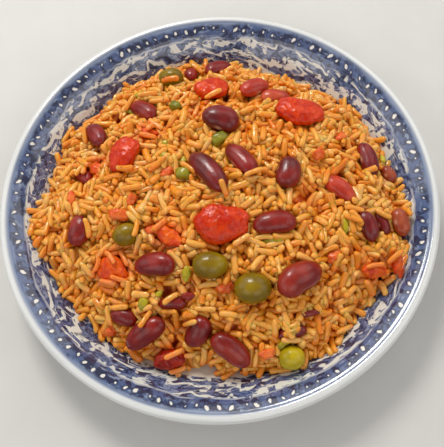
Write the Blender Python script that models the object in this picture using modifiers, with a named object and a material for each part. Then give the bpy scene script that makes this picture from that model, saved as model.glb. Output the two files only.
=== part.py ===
"""A soup plate heaped with tomato rice, kidney beans, tomato pieces, green olives and pepper.

Modelled in metres with +Z up. The origin is on the table, under the middle of the plate.
Sizes below are in millimetres, and MM turns them into metres when a mesh is made.
"""

import math

import bmesh
import bpy
import numpy as np
from mathutils import Matrix, Vector

MM = 0.001

# The plate: its outer radius, its rolled lip, whose curve starts and sweeps in degrees, and the radii
# and heights of its upper side, underside and foot.
PLATE_RADIUS = 100.0
LIP_RADIUS = 2.5
LIP_HEIGHT = 25.2
LIP_START, LIP_SWEEP = 140, 200
FLOOR_HEIGHT, FLAT_RADIUS = 6.5, 40
WELL_RADIUS = 79.6
WALL = [(70, 6.7), (76, 7.7), (WELL_RADIUS, 9.4), (84, 14.2), (90.5, 21.1), (95.4, 24.3)]
UNDERSIDE = [(94, 18.9), (85, 10.2), (76, 4.4), (58, 2.2)]
FOOT_OUTER, FOOT_INNER, FOOT_RECESS, FOOT_SLOPE = 55.0, 51.0, 1.7, 1.0
PLATE_STEPS = 48
LIP_STEPS = 4
MERGE_DISTANCE = 0.01

# The heap of rice: its edge's radius every 15 degrees from +X, its top, and the waves that swell its
# surface, each with its length across and along the plate and its shift.
HEAP_EDGE = [83, 82, 82, 80, 77, 78, 79, 80, 79, 80, 83, 81, 86, 83, 79, 79, 78, 76, 78, 82, 84, 80, 87, 85]
HEAP_TOP = 37.5
HEAP_CURVE, HEAP_SHOULDER = 2.2, 0.75
EDGE_THICKNESS = 1.6
SWELL, SWELL_FADE = 0.6, 6
SWELL_WAVES = [(7, 16, 0), (-19, 6, 2), (10, -9, 0)]
SLOPE_STEP = 1.5
HEAP_SEGMENTS, HEAP_RINGS = 32, 12
EQUATOR = -0.001

# Clearances between solids that rest on each other.
GAP = 0.35
PLATE_GAP = 0.45

# Each piece in the heap: x, y, turn in degrees from +X, length, width, and how far its middle is
# above the rice's surface.
BEANS = [
    (-54, 36, -60, 16, 9, 0.5),
    (-31, 47.5, -45, 17, 9, 0),
    (7, 70.5, 30, 15, 9, 1),
    (23, 53, 27, 16, 9.5, 0.5),
    (32.5, 46.5, -5, 14, 8, 0),
    (5, 32, -20, 17.5, 12.5, 1),
    (-2.5, 4.5, -58, 25, 10.5, 2),
    (12, 9, -60, 20, 9.5, 1),
    (31.5, 2, -112, 15, 11, 1.5),
    (23, -21, 2, 19, 10.5, 1),
    (30, -45.5, 24, 21.5, 13, 2),
    (-29, -33, -8, 18.5, 10.5, 1.5),
    (-62.5, -12, -105, 14, 10, 0.5),
    (70.5, 10, -85, 18, 9, 1),
    (54.5, -6, -47, 16, 9, -0.5),
    (-36.5, -58.5, 30, 21, 10.5, 1.5),
    (-1, -69.5, -47, 20, 10.5, 1.2),
    (-14.5, -61, -128, 15, 10, 0),
    (-46.5, -51.5, -25, 13, 8, -1.5),
    (-24, -49.5, -5, 12, 6, -1.5),
    (64, -24.5, -78, 14, 8.5, 0),
    (79, -21.5, -85, 13, 8.5, 2),
    (-61.5, 17, -50, 12, 7, -1.5),
    (-6.5, 69.5, 80, 9, 7, -0.5),
    (80.5, 4, -70, 9, 7, 0.5),
    (25, -66.5, 8, 13, 6, -1.5),
    (72.2, -22, -70, 11, 6, -1),
]
# The pieces of tomato, olive and pepper also give their thickness, before the last number.
TOMATOES = [
    (-41, 19.5, 55, 18, 14, 8, 1),
    (2.5, 53, 10, 17, 14.5, 8, 1),
    (42, 33, -12, 23, 16, 9, 1.5),
    (0.5, -20, -5, 24, 18.5, 10, 2),
    (-48, -31, -35, 15, 12, 7, 0),
    (-27.5, -69, 0, 14, 10, 7, 1.5),
    (73.5, -41, -80, 11, 6, 5, 2),
    (-29, 31, -28, 10, 6, 5, 0),
    (-23, -22, -43, 14, 8, 5, 0),
    (63.5, -43.5, -12, 11, 6.5, 5, 0.5),
    (-53.5, 17.5, -30, 8, 6, 4, 0),
]
OLIVES = [
    (11, -47, -5, 15.5, 13, 12, 2),
    (-6, -36, -5, 15, 11.5, 11, 1.5),
    (24, -75, 0, 11, 10.5, 10, 1),
    (-41, -17.5, 10, 11.5, 10, 9.5, 0.5),
    (-16.5, 66.5, -10, 12, 9.5, 9, 0.5),
]
PEPPERS = [
    (3.5, 22, 28, 8, 5, 4, 0),
    (-14, 6.5, -9, 7, 5, 4, 0.3),
    (-15, 44, -35, 6, 4, 3.5, 0.3),
]
BEAN_THICKNESS = 0.82
BEAN_BEND, BEND_MIDDLE = 0.28, 0.35
BEAN_FULLNESS = 0.4
TOMATO_LUMPS = (0.07, 0.05)
TOMATO_WEDGE = 0.22
TOMATO_FLATNESS = 0.8
PEPPER_EDGE = 0.9
PEPPER_ARCH = 0.35
PEPPER_CUTS, SHARP_ANGLE = 2, 60
BEAN_BALL, TOMATO_BALL, OLIVE_BALL = (8, 6), (9, 6), (8, 6)

GLAZE = ("glaze", (0.80, 0.81, 0.78), 0.12)
RICE = ("rice", (0.78, 0.40, 0.10), 0.45)
BEAN_SKIN = ("bean_skin", (0.16, 0.02, 0.02), 0.25)
TOMATO_FLESH = ("tomato_flesh", (0.62, 0.06, 0.02), 0.25)
OLIVE_SKIN = ("olive_skin", (0.20, 0.20, 0.02), 0.25)
PEPPER_FLESH = ("pepper_flesh", (0.30, 0.33, 0.04), 0.30)


def clear_scene():
    for old in list(bpy.data.objects):
        bpy.data.objects.remove(old, do_unlink=True)


def collection(name):
    made = bpy.data.collections.new(name)
    bpy.context.scene.collection.children.link(made)
    return made


def material(name, colour, roughness):
    made = bpy.data.materials.get(name) or bpy.data.materials.new(name)
    made.use_nodes = True
    shader = made.node_tree.nodes["Principled BSDF"]
    shader.inputs["Base Color"].default_value = (*colour, 1)
    shader.inputs["Roughness"].default_value = roughness
    shader.inputs["Metallic"].default_value = 0
    return made


def finished(name, bm, where, look):
    """An object from a bmesh in millimetres, shaded smooth, in the collection where."""
    bmesh.ops.recalc_face_normals(bm, faces=bm.faces)
    bmesh.ops.scale(bm, vec=(MM, MM, MM), verts=bm.verts)
    mesh = bpy.data.meshes.new(name)
    bm.to_mesh(mesh)
    bm.free()
    mesh.shade_smooth()
    made = bpy.data.objects.new(name, mesh)
    where.objects.link(made)
    mesh.materials.append(material(*look))
    return made


def plate_profile():
    """Radius and height from the middle of the floor out over the lip and back under the foot."""
    middle = PLATE_RADIUS - LIP_RADIUS
    lip = []
    for step in range(LIP_STEPS + 1):
        turn = math.radians(LIP_START - LIP_SWEEP * step / LIP_STEPS)
        lip.append((middle + LIP_RADIUS * math.cos(turn), LIP_HEIGHT + LIP_RADIUS * (math.sin(turn) - 1)))
    foot = [(FOOT_OUTER, 0), (FOOT_INNER, 0), (FOOT_INNER - FOOT_SLOPE, FOOT_RECESS), (0, FOOT_RECESS)]
    return [(0, FLOOR_HEIGHT), (FLAT_RADIUS, FLOOR_HEIGHT), *WALL, *lip, *UNDERSIDE, *foot]


def plate_top(radius):
    """Height of the plate's upper side at a radius."""
    radii = [0, FLAT_RADIUS] + [r for r, _ in WALL]
    heights = [FLOOR_HEIGHT, FLOOR_HEIGHT] + [z for _, z in WALL]
    return float(np.interp(radius, radii, heights))


def make_plate(where):
    profile = plate_profile()
    bm = bmesh.new()
    points = [bm.verts.new((r, 0, z)) for r, z in profile]
    for a, b in zip(points, points[1:]):
        bm.edges.new((a, b))
    plate = finished("plate", bm, where, GLAZE)
    turn = plate.modifiers.new("turn", "SCREW")
    turn.axis = "Z"
    turn.angle = 2 * math.pi
    turn.steps = PLATE_STEPS
    turn.render_steps = PLATE_STEPS
    turn.use_merge_vertices = True
    turn.merge_threshold = MERGE_DISTANCE * MM
    return plate


def heap_edge(angle):
    """Radius of the heap's edge at an angle, on a smooth closed curve through HEAP_EDGE."""
    place = (angle / (2 * math.pi)) % 1 * len(HEAP_EDGE)
    first = int(place)
    a, b, c, d = (HEAP_EDGE[(first + k) % len(HEAP_EDGE)] for k in (-1, 0, 1, 2))
    t = place - first
    return b + 0.5 * t * (c - a + t * (2 * a - 5 * b + 4 * c - d + t * (3 * (b - c) + d - a)))


def heap_top(x, y):
    """Height of the rice's surface, which swells and dips a little."""
    edge = heap_edge(math.atan2(y, x))
    share = min(math.hypot(x, y) / edge, 1)
    foot = plate_top(edge) + EDGE_THICKNESS
    dome = (1 - share**HEAP_CURVE) ** HEAP_SHOULDER
    swell = sum(math.sin(x / across + y / along + shift) for across, along, shift in SWELL_WAVES)
    return foot + (HEAP_TOP - foot) * dome + SWELL * swell * (1 - share**SWELL_FADE)


def heap_normal(x, y):
    slope_x = (heap_top(x + SLOPE_STEP, y) - heap_top(x - SLOPE_STEP, y)) / (2 * SLOPE_STEP)
    slope_y = (heap_top(x, y + SLOPE_STEP) - heap_top(x, y - SLOPE_STEP)) / (2 * SLOPE_STEP)
    return Vector((-slope_x, -slope_y, 1)).normalized()


def make_heap(where):
    """A ball whose upper half becomes the heap's surface and whose lower half follows the plate."""
    bm = bmesh.new()
    bmesh.ops.create_uvsphere(bm, u_segments=HEAP_SEGMENTS, v_segments=HEAP_RINGS, radius=1)
    for v in bm.verts:
        angle = math.atan2(v.co.y, v.co.x)
        radius = math.hypot(v.co.x, v.co.y) * heap_edge(angle)
        x, y = radius * math.cos(angle), radius * math.sin(angle)
        under = v.co.z < EQUATOR
        v.co = (x, y, plate_top(radius) + PLATE_GAP if under else heap_top(x, y))
    return finished("rice_heap", bm, where, RICE)


def ball(around, along):
    """A unit ball whose poles are on the X axis."""
    bm = bmesh.new()
    bmesh.ops.create_uvsphere(bm, u_segments=around, v_segments=along, radius=1)
    bmesh.ops.rotate(bm, matrix=Matrix.Rotation(math.pi / 2, 3, "Y"), verts=bm.verts)
    return bm


def bean_shape(length, width):
    """A kidney: a long ball bent in its flat plane, blunter at the ends than an ellipsoid."""
    bm = ball(*BEAN_BALL)
    for v in bm.verts:
        fullness = 1 + BEAN_FULLNESS * v.co.x**2 * (1 - v.co.x**2)
        bend = BEAN_BEND * width / 2 * (v.co.x**2 - BEND_MIDDLE)
        x = v.co.x * length / 2
        y = v.co.y * width / 2 * fullness - bend
        v.co = (x, y, v.co.z * width / 2 * BEAN_THICKNESS * fullness)
    return bm


def tomato_shape(length, width, thickness, number):
    """A lumpy wedge: a flattened ball, thick at one end, with lumps that differ by number."""
    bm = ball(*TOMATO_BALL)
    for v in bm.verts:
        turn = math.atan2(v.co.y, v.co.x)
        slow, quick = math.sin(3 * turn + number), math.sin(5 * turn + 2 * number)
        lump = 1 + TOMATO_LUMPS[0] * slow + TOMATO_LUMPS[1] * quick
        flat = math.copysign(abs(v.co.z) ** TOMATO_FLATNESS, v.co.z)
        wedge = 1 - TOMATO_WEDGE * v.co.x
        v.co = (v.co.x * length / 2 * lump, v.co.y * width / 2 * lump, flat * thickness / 2 * wedge)
    return bm


def olive_shape(length, width, thickness):
    bm = ball(*OLIVE_BALL)
    bmesh.ops.scale(bm, vec=(length / 2, width / 2, thickness / 2), verts=bm.verts)
    return bm


def pepper_shape(length, width, thickness):
    """A diced piece of pepper wall: a slab that curves over its length, with rounded edges."""
    bm = bmesh.new()
    bmesh.ops.create_cube(bm, size=1)
    bmesh.ops.scale(bm, vec=(length, width, thickness), verts=bm.verts)
    across = [e for e in bm.edges if abs(e.verts[0].co.x - e.verts[1].co.x) > length / 2]
    bmesh.ops.subdivide_edges(bm, edges=across, cuts=PEPPER_CUTS, use_grid_fill=True)
    for v in bm.verts:
        v.co.z += thickness * PEPPER_ARCH * (1 - (2 * v.co.x / length) ** 2)
    bmesh.ops.recalc_face_normals(bm, faces=bm.faces)
    sharp = [e for e in bm.edges if e.calc_face_angle(0) > math.radians(SHARP_ANGLE)]
    bmesh.ops.bevel(bm, geom=sharp, offset=PEPPER_EDGE, segments=1, affect="EDGES")
    return bm


def lay(piece, x, y, turn, rise):
    """Puts a piece on the rice, turned about Z and then leant with the heap's slope."""
    normal = heap_normal(x, y)
    lean = Vector((0, 0, 1)).rotation_difference(normal)
    middle = Vector((x, y, heap_top(x, y))) + normal * rise
    piece.rotation_mode = "QUATERNION"
    piece.rotation_quaternion = lean @ Matrix.Rotation(math.radians(turn), 3, "Z").to_quaternion()
    piece.location = middle * MM
    return piece


def make_pieces(where):
    made = []
    for number, (x, y, turn, length, width, rise) in enumerate(BEANS, 1):
        bean = finished(f"bean_{number:02}", bean_shape(length, width), where, BEAN_SKIN)
        made.append(lay(bean, x, y, turn, rise))
    for number, (x, y, turn, length, width, thickness, rise) in enumerate(TOMATOES, 1):
        shape = tomato_shape(length, width, thickness, number)
        tomato = finished(f"tomato_{number:02}", shape, where, TOMATO_FLESH)
        made.append(lay(tomato, x, y, turn, rise))
    for number, (x, y, turn, length, width, thickness, rise) in enumerate(OLIVES, 1):
        olive = finished(f"olive_{number:02}", olive_shape(length, width, thickness), where, OLIVE_SKIN)
        made.append(lay(olive, x, y, turn, rise))
    for number, (x, y, turn, length, width, thickness, rise) in enumerate(PEPPERS, 1):
        pepper = finished(f"pepper_{number:02}", pepper_shape(length, width, thickness), where, PEPPER_FLESH)
        made.append(lay(pepper, x, y, turn, rise))
    return made


def hollow_for(piece, where):
    """A copy of a piece that is larger by GAP all round, which presses its hollow into the rice."""
    grown = piece.copy()
    grown.name = f"hollow_{piece.name}"
    grown.data = piece.data.copy()
    outward = [v.normal.copy() for v in grown.data.vertices]
    for v, normal in zip(grown.data.vertices, outward):
        v.co += normal * GAP * MM
    grown.hide_render = True
    grown.display_type = "WIRE"
    where.objects.link(grown)


def press_hollows(heap, hollows):
    cut = heap.modifiers.new("hollows", "BOOLEAN")
    cut.operation = "DIFFERENCE"
    cut.solver = "EXACT"
    cut.operand_type = "COLLECTION"
    cut.collection = hollows


def main():
    clear_scene()
    dish = collection("rice_and_beans_plate")
    hollows = collection("hollows")
    make_plate(dish)
    heap = make_heap(dish)
    for piece in make_pieces(dish):
        hollow_for(piece, hollows)
    press_hollows(heap, hollows)


main()
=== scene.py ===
"""The looks of the rice and beans plate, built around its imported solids.

A turned plate with a printed border holds a heap of cooked rice: real grains, packed over a smaller
core, with kidney beans, pieces of tomato, olives, pepper and small bits among them.
Sizes are in millimetres, and MM turns them into metres when a mesh is made.
"""

import math
from itertools import product

import bpy
import numpy as np
from mathutils import Matrix, Vector, noise
from mathutils.bvhtree import BVHTree


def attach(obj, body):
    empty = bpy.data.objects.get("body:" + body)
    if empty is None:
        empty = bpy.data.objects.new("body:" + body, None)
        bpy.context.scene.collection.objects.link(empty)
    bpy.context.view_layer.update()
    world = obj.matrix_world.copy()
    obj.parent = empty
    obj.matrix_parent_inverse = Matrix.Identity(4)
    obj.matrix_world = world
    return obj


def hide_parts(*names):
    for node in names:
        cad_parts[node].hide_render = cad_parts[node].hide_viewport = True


MM = 0.001

# Camera: how far above the table it looks from, its roll, and how far it is from the point it aims at.
CAMERA_ELEVATION = 68.69
CAMERA_ROLL = -6.09
CAMERA_DISTANCE = 285.0
CAMERA_AIM = (0.76, -13.54, 22.7)
CAMERA_LENS, CAMERA_SENSOR = 51.36, 36.0

# Plate: points of its upper side, its lip, and its underside, as in the frame, and its mesh.
PLATE_RADIUS, LIP_RADIUS, LIP_HEIGHT = 100.0, 2.5, 25.2
PLATE_UPPER = [(0, 6.5), (20, 6.5), (40, 6.5), (58, 6.5), (70, 6.7), (76, 7.7), (79.6, 9.4)]
PLATE_WALL = [(84, 14.2), (90.5, 21.1), (95.4, 24.3)]
PLATE_UNDER = [(94, 18.9), (85, 10.2), (76, 4.4), (58, 2.2)]
PLATE_FOOT = [(55, 0.7), (54.4, 0.1), (51.6, 0.1), (51, 0.6), (50, 1.7), (25, 1.7), (0, 1.7)]
PLATE_SEGMENTS = 288

# Rice grains: how many, their lengths and radii, and the share of their radii at which two of them touch.
GRAIN_COUNT = 3000
GRAIN_LENGTH, LENGTH_SPREAD, LENGTH_RANGE = 9.0, 0.95, (6.4, 11.0)
GRAIN_RADIUS, RADIUS_SPREAD, RADIUS_RANGE = 1.48, 0.12, (1.15, 1.75)
BROKEN_SHARE, BROKEN_RANGE = 0.10, (4.2, 6.4)
GRAIN_OVERLAP = 0.72

# Where they start: tries at a time, how far out, and how likely they are to be kept near the heap's edge.
TRIES, TRY_REACH, EDGE_CHANCE = 20000, 90, (0.35, 0.75)

# How they lie: side by side over patches of LIE_SIZE, apart from the loose ones, and a few of them steep.
LIE_SIZE, LIE_SPREAD, LOOSE_SHARE = 16.0, 0.45, 0.45
TILT_SPREAD, STEEP_SHARE, STEEPEST = 15, 0.08, 80
RICE_DEPTH, THINNEST = 5.6, 0.2
RISE, RISE_SPREAD, RISE_RANGE = 0.4, 0.9, (-1.2, 2.2)

# How they are packed: beads in a grain, rounds, and rounds between two lists of the beads that are near.
BEADS, ROUNDS, LISTING = 4, 70, 5
PUSH, SETTLE, PRESS = 0.32, 0.05, 0.3

# The heap's surface: the grid it is read on, the pockets closed, and the clumps and edge added to it.
CELL, GRID_REACH, NO_HEIGHT = 1.5, 96, -100.0
POCKET = 8.5
CLUMP_SIZE, CLUMP_HEIGHT, CLUMP_FADE = 8.0, 3.6, 10
EDGE_REACH, EDGE_HEIGHT = 2.0, 2.2
# How far from a tomato the rice is stained, and how far below the surface the painted shade of deeper grains
# reaches.
STAIN_REACH, DEPTH_SHADE_REACH = 7.0, 6.0

# The core under the grains: how far inside the heap's edge it ends, its lumps, and its least height.
CORE_SEGMENTS, CORE_RINGS = 240, 54
CORE_INSET, CORE_LIFT, CORE_LUMP, CORE_LUMP_SIZE = 5.0, 0.9, 0.9, 2.6
CORE_GAP, CORE_LEAST = 0.12, 0.25

# Small bits: thickness over width, the share of one that keeps grains away, and how far it is sunk in.
BIT_THICKNESS, BIT_ROOM, BIT_SUNK = 0.75, 0.6, 0.4
SPECK_COUNT = 120

RNG = np.random.default_rng(20)


def linear(red, green, blue):
    """A screen colour, 0 to 255, as the linear colour that a shader takes."""
    shades = np.array([red, green, blue]) / 255
    low, high = shades / 12.92, ((shades + 0.055) / 1.055) ** 2.4
    return tuple(np.where(shades <= 0.04045, low, high).tolist())


def unit(vectors):
    """The vectors, each scaled to a length of 1."""
    return vectors / np.linalg.norm(vectors, axis=-1, keepdims=True)


def circle(steps):
    """The angles of even steps round a circle."""
    return np.arange(steps) / steps * 2 * math.pi


class Term:
    """A number that a node gives: adding to it, or multiplying it, makes the node that does so."""

    def __init__(self, nodes, socket):
        self.nodes, self.socket = nodes, socket

    def __add__(self, other):
        return self.nodes.math("ADD", self, other)

    def __sub__(self, other):
        return self.nodes.math("SUBTRACT", self, other)

    def __rsub__(self, other):
        return self.nodes.math("SUBTRACT", other, self)

    def __mul__(self, other):
        return self.nodes.math("MULTIPLY", self, other)

    def __truediv__(self, other):
        return self.nodes.math("DIVIDE", self, other)

    def __abs__(self):
        return self.nodes.math("ABSOLUTE", self)


class Nodes:
    """Builds one material. Inputs may be numbers, screen colours, terms or other nodes' outputs."""

    def __init__(self, name):
        self.material = bpy.data.materials.new(name)
        self.material.use_nodes = True
        self.tree = self.material.node_tree
        self.shader = self.tree.nodes["Principled BSDF"]

    def put(self, socket, value):
        value = value.socket if isinstance(value, Term) else value
        if isinstance(value, bpy.types.NodeSocket):
            self.tree.links.new(value, socket)
        elif socket.type == "RGBA":
            socket.default_value = (*linear(*value), 1)
        else:
            socket.default_value = value

    def node(self, kind, inputs=None, **settings):
        made = self.tree.nodes.new(kind)
        for name, value in settings.items():
            setattr(made, name, value)
        for name, value in (inputs or {}).items():
            self.put(made.inputs[name], value)
        return made

    def math(self, operation, *values):
        made = self.node("ShaderNodeMath", dict(enumerate(values)), operation=operation)
        return Term(self, made.outputs[0])

    def place(self):
        return self.node("ShaderNodeTexCoord").outputs["Object"]

    def askew(self):
        """The place turned off the axes, so that no noise lines up with them."""
        inputs = {"Vector": self.place(), "Axis": (0.6, 0.5, 0.62), "Angle": 1.1}
        return self.node("ShaderNodeVectorRotate", inputs).outputs[0]

    def vector(self, x, y, z=0.0):
        return self.node("ShaderNodeCombineXYZ", {0: x, 1: y, 2: z}).outputs[0]

    def parts(self, vector):
        """The three numbers of a vector or a colour."""
        return [Term(self, part) for part in self.node("ShaderNodeSeparateXYZ", {0: vector}).outputs]

    def attribute(self, name):
        return Term(self, self.node("ShaderNodeAttribute", attribute_name=name).outputs["Fac"])

    def noise(self, place, scale, detail=2.0, rough=0.5, warp=0.0):
        inputs = {"Vector": place, "Scale": scale, "Detail": detail, "Roughness": rough, "Distortion": warp}
        return Term(self, self.node("ShaderNodeTexNoise", inputs).outputs["Fac"])

    def cells(self, place, scale):
        """The distance from the nearest of many scattered points, and that point's own colour."""
        outputs = self.node("ShaderNodeTexVoronoi", {"Vector": place, "Scale": scale}).outputs
        return Term(self, outputs["Distance"]), outputs["Color"]

    def step(self, value, low, high):
        """0 below low, 1 above high, and smooth between; it falls instead if low is above high."""
        inputs = {"Value": value, "From Min": low, "From Max": high}
        made = self.node("ShaderNodeMapRange", inputs, interpolation_type="SMOOTHSTEP")
        return Term(self, made.outputs["Result"])

    def mix(self, share, first, second):
        return self.node("ShaderNodeMix", {0: share, 6: first, 7: second}, data_type="RGBA").outputs[2]

    def finish(self, colour, roughness, height, depth, strength, **sockets):
        """Joins the parts to the shader; depth is the bump's height in millimetres."""
        inputs = {"Height": height, "Distance": depth * MM, "Strength": strength}
        bump = self.node("ShaderNodeBump", inputs).outputs["Normal"]
        sockets.update(Base_Color=colour, Roughness=roughness, Normal=bump, Coat_Normal=bump)
        for name, value in sockets.items():
            self.put(self.shader.inputs[name.replace("_", " ")], value)
        return self.material


# ---------------------------------------------------------------- materials

LIP_WHITE = (217, 219, 218)
WELL_CREAM = (214, 208, 194)
FOOT_CLAY = (214, 206, 190)
BORDER_CREAM = (214, 216, 208)
BORDER_WASH = (122, 137, 165)
BORDER_BLUE = (72, 90, 132)
BORDER_INDIGO = (28, 36, 70)
BORDER_GREY = (124, 137, 163)
DROP_WHITE = (226, 224, 216)
LINE_PALE = (176, 182, 192)
GLAZE_SHADE = (150, 146, 140)

# The print, by distance from the plate's axis: where it starts and ends, the line and the drops in it.
PRINT_START, PRINT_END = 79.5, 97.4
BAND_MIDDLE, LINE_RADIUS, DROP_RADIUS = 85.0, 89.6, 92.2
DROPS = 116


def glaze_material():
    """White glaze with a blue printed border: drops, a pale line, scrolls and a dark ground."""
    n = Nodes("glaze")
    place = n.place()
    x, y, z = n.parts(place)
    flat = n.vector(x, y)
    radius = Term(n, n.node("ShaderNodeVectorMath", {0: flat}, operation="LENGTH").outputs["Value"]) / MM
    heading = n.node("ShaderNodeVectorMath", {0: flat}, operation="NORMALIZE").outputs["Vector"]
    east, north, _ = n.parts(heading)

    def unrolled(stretch):
        """The border as a band round the axis, its features stretched along it."""
        return n.vector(east * BAND_MIDDLE, north * BAND_MIDDLE, (radius - BAND_MIDDLE) * stretch)

    long, longer, even = unrolled(2.2), unrolled(3.0), unrolled(1.0)

    # The ground: three blues marbled along the band, darkest next to the well.
    marble = n.noise(long, 0.20, 3.0, 0.55, 1.6) - 0.03 + n.step(radius, 79.0, 87.0) * 0.06
    colour = n.mix(n.step(marble, 0.42, 0.54), BORDER_INDIGO, BORDER_BLUE)
    colour = n.mix(n.step(marble, 0.54, 0.68), colour, BORDER_GREY)

    # Cream strokes: long curved smears along the band, more of them in some places, and thin branches.
    here = n.noise(even, 0.055, 1.0) * 0.50 - 0.25
    phase = n.math("FRACT", n.noise(long, 0.06, 2.0, 0.5, 0.8) * 3.4 + radius / 4.6)
    cream = n.step(abs(phase * 2.0 - 1.0) + here * 1.2, 0.54, 0.70)
    branch = abs(n.noise(longer, 0.10, 1.0, 0.40, 0.8) - 0.5)
    cream = n.math("MAXIMUM", cream, n.step(branch - here * 0.10, 0.016, 0.004) * 0.85)
    vein = n.step(n.noise(longer, 0.26, 1.2, 0.5, 0.8), 0.58, 0.62)
    blot = n.step(n.noise(even, 0.22, 1.0), 0.60, 0.63)
    cream = cream * (1.0 - vein * 0.8) * (1.0 - blot)
    distance, chance = n.cells(even, 0.26)
    dot = n.step(distance, 0.16, 0.10) * n.step(n.parts(chance)[1], 0.66, 0.68)
    cream = n.math("MAXIMUM", cream, dot) * n.step(radius - blot, 78.0, 80.5)
    colour = n.mix(cream, colour, BORDER_CREAM)

    # The outer band: dark blobs on blue, and a ring of small white drops that differ by chance.
    band = n.mix(n.step(n.noise(even, 0.26, 3.0, 0.6, 0.8), 0.46, 0.56), BORDER_BLUE, BORDER_INDIGO)
    band = n.mix(n.step(n.noise(long, 0.3, 3.0), 0.56, 0.70), band, BORDER_WASH)
    turns = n.math("ARCTAN2", y, x) * (DROPS / (2 * math.pi))
    number = n.math("FLOOR", turns)
    chance = n.node("ShaderNodeTexWhiteNoise", {"W": number}, noise_dimensions="1D").outputs["Color"]
    shift, lift, lean = n.parts(chance)
    outward = radius - DROP_RADIUS - lift * 1.6
    sideways = (turns - number - 0.5 + (shift * 0.4 - 0.2)) * 5.0 + outward * (lean * 1.4 - 0.7)
    spread = n.math("SQRT", sideways * sideways + outward * outward * 0.7) + n.noise(even, 0.9, 1.0) * 0.9
    beyond = spread - (shift * 0.7 + 0.68)
    band = n.mix(n.step(beyond, 1.3, 0.3) * 0.7, band, BORDER_INDIGO)
    band = n.mix(n.step(beyond, 0.16, -0.16), band, DROP_WHITE)
    edge = radius + (n.noise(even, 0.10, 2.0) * 3.6 - 1.8)
    colour = n.mix(n.step(edge, 89.0, 90.4), colour, band)
    broken = n.step(n.noise(even, 0.08, 1.0), 0.44, 0.56)
    colour = n.mix(n.step(abs(edge - LINE_RADIUS), 0.50, 0.15) * broken * 0.75, colour, LINE_PALE)
    colour = n.mix(n.step(edge, 94.2, 96.2), colour, BORDER_WASH)

    # The white lip, well and underside round the print.
    colour = n.mix(n.step(radius, PRINT_END - 1.5, PRINT_END), colour, LIP_WHITE)
    colour = n.mix(n.step(radius, PRINT_START + 0.4, PRINT_START), colour, WELL_CREAM)
    facing = n.parts(n.node("ShaderNodeNewGeometry").outputs["Normal"])[2]
    colour = n.mix(n.step(facing, 0.02, -0.02), colour, LIP_WHITE)
    foot = n.step(z / MM, 0.55, 0.35)
    colour = n.mix(foot, colour, FOOT_CLAY)
    colour = n.mix(n.noise(place, 60.0, 3.0) * 0.10, colour, GLAZE_SHADE)
    roughness = n.noise(place, 900.0, 2.0) * 0.10 + 0.07 + foot * 0.55
    ripple = n.noise(place, 140.0, 2.0)
    return n.finish(colour, roughness, ripple, depth=0.12, strength=0.25,
                    Coat_Weight=0.6, Coat_Roughness=0.04)


# Partly the sauce's colour, partly painted shade: the darker orange that deeper grains and each grain's
# underside are mixed towards.
SAUCE_AND_SHADE = (232, 104, 0)
TOMATO_STAIN = (226, 96, 18)


def rice_material(name, light, mid, dark):
    """Cooked rice, glossy with tomato sauce: its shade differs from grain to grain and along each."""
    n = Nodes(name)
    place = n.askew()
    mottle = n.noise(place, 520.0, 3.0, 0.6)
    shade = n.attribute("tint") * 0.30 + n.noise(place, 55.0, 2.0) * 0.90 - 0.38 + mottle * 0.60
    colour = n.mix(n.step(shade, 0.10, 0.50), dark, mid)
    colour = n.mix(n.step(shade, 0.40, 0.90), colour, light)
    colour = n.mix(n.step(n.attribute("along"), 0.62, 1.0) * 0.25, colour, light)
    # Painted shade, partly sauce: grains deep below the heap's surface, and the underside of each grain, are
    # mixed towards a darker orange.
    colour = n.mix(n.attribute("depth") * 0.75, colour, SAUCE_AND_SHADE)
    stain = n.step(mottle * 0.5 + n.attribute("stain"), 0.35, 1.15)
    colour = n.mix(stain * 0.65, colour, TOMATO_STAIN)
    grain = n.noise(place, 700.0, 2.0)
    return n.finish(
        colour, grain * 0.30 + 0.22, grain + n.noise(place, 1700.0, 1.0) * 0.5, depth=0.20, strength=0.42,
        Subsurface_Weight=0.85, Subsurface_Scale=0.0024, Subsurface_Radius=(1.0, 0.42, 0.14),
        Coat_Weight=0.60, Coat_Roughness=0.09, IOR=1.30,
    )


def core_material():
    n = Nodes("rice_core")
    place = n.askew()
    shade = n.noise(place, 330.0, 4.0, 0.6)
    # Painted shade, partly sauce: the core, seen in the gaps between grains, is a darker orange than the
    # grains.
    colour = n.mix(n.step(shade, 0.35, 0.65), (186, 68, 2), (224, 104, 8))
    return n.finish(colour, shade * 0.3 + 0.20, n.noise(place, 480.0, 3.0), depth=0.8, strength=0.8,
                    Subsurface_Weight=0.4, Subsurface_Scale=0.002)


BEAN_SCAR = (206, 150, 120)


def bean_material(name, skin, pale, dark):
    """Kidney bean skin: glossy and mottled, paler on its ridges, with fine creases and flecks."""
    n = Nodes(name)
    place = n.askew()
    fine = n.noise(place, 1500.0, 2.0)
    colour = n.mix(n.step(n.noise(place, 130.0, 3.0, 0.55), 0.38, 0.68), dark, skin)
    colour = n.mix(n.step(n.noise(place, 75.0, 2.0), 0.52, 0.72) * 0.55, colour, pale)
    colour = n.mix(n.step(fine, 0.68, 0.78) * 0.35, colour, pale)
    colour = n.mix(n.attribute("scar") * 0.75, colour, BEAN_SCAR)
    height = fine * 0.45 + n.noise(place, 380.0, 3.0, 0.55, 1.2)
    return n.finish(
        colour, n.noise(place, 500.0, 2.0) * 0.25 + 0.30, height, depth=0.22, strength=0.5,
        Subsurface_Weight=0.10, Subsurface_Scale=0.0010, Subsurface_Radius=(1.0, 0.25, 0.15),
        Coat_Weight=0.45, Coat_Roughness=0.13, IOR=1.36,
    )


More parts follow.
